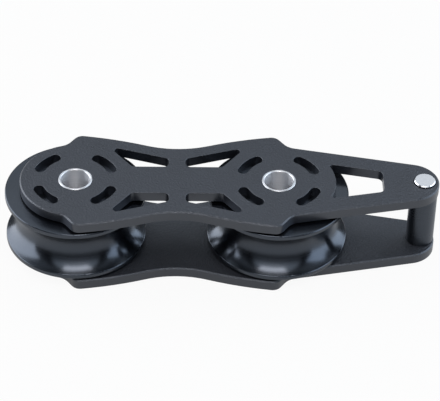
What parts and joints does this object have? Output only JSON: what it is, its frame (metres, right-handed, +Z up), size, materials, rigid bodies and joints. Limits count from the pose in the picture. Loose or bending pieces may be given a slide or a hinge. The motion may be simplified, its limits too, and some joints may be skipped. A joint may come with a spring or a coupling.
{
  "type": "rope deck organizer",
  "caption": "Low black deck organizer that turns ropes along a deck, with grooved sheaves side by side between two cheek plates and a riveted post at the end.",
  "frame": {"origin": "midway between the two bolt holes, on the underside that lies on the deck", "axes": "+X along the row of sheaves towards the end post, +Y across the part to the far side, +Z up from the deck along both bolt axes"},
  "size_m": [0.176, 0.0572, 0.0351],
  "materials": {
    "plate_anodising": "satin black anodised",
    "sheave_anodising": "smooth black hard anodised",
    "cap_anodising": "satin black anodised",
    "post_anodising": "satin black anodised",
    "stainless_sleeve": "bright turned",
    "stainless_race": "ground",
    "stainless_pin": "bright",
    "acetal_washer": "plain",
    "acetal_cage": "plain",
    "acetal_roller": "plain"
  },
  "bodies": {
    "housing": {"top_cheek_plate": "plate_anodising", "bottom_cheek_plate": "plate_anodising", "left_bolt_sleeve": "stainless_sleeve", "right_bolt_sleeve": "stainless_sleeve", "left_inner_race": "stainless_race", "right_inner_race": "stainless_race", "left_upper_race_cap": "cap_anodising", "left_lower_race_cap": "cap_anodising", "right_upper_race_cap": "cap_anodising", "right_lower_race_cap": "cap_anodising", "left_upper_thrust_washer": "acetal_washer", "left_lower_thrust_washer": "acetal_washer", "right_upper_thrust_washer": "acetal_washer", "right_lower_thrust_washer": "acetal_washer", "end_post": "post_anodising", "end_pin": "stainless_pin"},
    "left_sheave": {"left_sheave": "sheave_anodising"},
    "right_sheave": {"right_sheave": "sheave_anodising"},
    "left_roller_set": {"left_rollers": "acetal_roller", "left_roller_cage": "acetal_cage"},
    "right_roller_set": {"right_rollers": "acetal_roller", "right_roller_cage": "acetal_cage"}
  },
  "joints": [
    {"name": "left_sheave_spin", "type": "hinge", "parent": "housing", "child": "left_sheave", "pos_m": [-0.04115, 0, 0.0171], "axis": [0, 0, 1], "continuous": true},
    {"name": "right_sheave_spin", "type": "hinge", "parent": "housing", "child": "right_sheave", "pos_m": [0.04115, 0, 0.0171], "axis": [0, 0, 1], "continuous": true},
    {"name": "left_rollers_orbit", "type": "hinge", "parent": "housing", "child": "left_roller_set", "pos_m": [-0.04115, 0, 0.0171], "axis": [0, 0, 1], "continuous": true},
    {"name": "right_rollers_orbit", "type": "hinge", "parent": "housing", "child": "right_roller_set", "pos_m": [0.04115, 0, 0.0171], "axis": [0, 0, 1], "continuous": true}
  ],
  "couplings": [
    {"joint": "left_rollers_orbit", "follows": "left_sheave_spin", "ratio": 0.58},
    {"joint": "right_rollers_orbit", "follows": "right_sheave_spin", "ratio": 0.58}
  ]
}
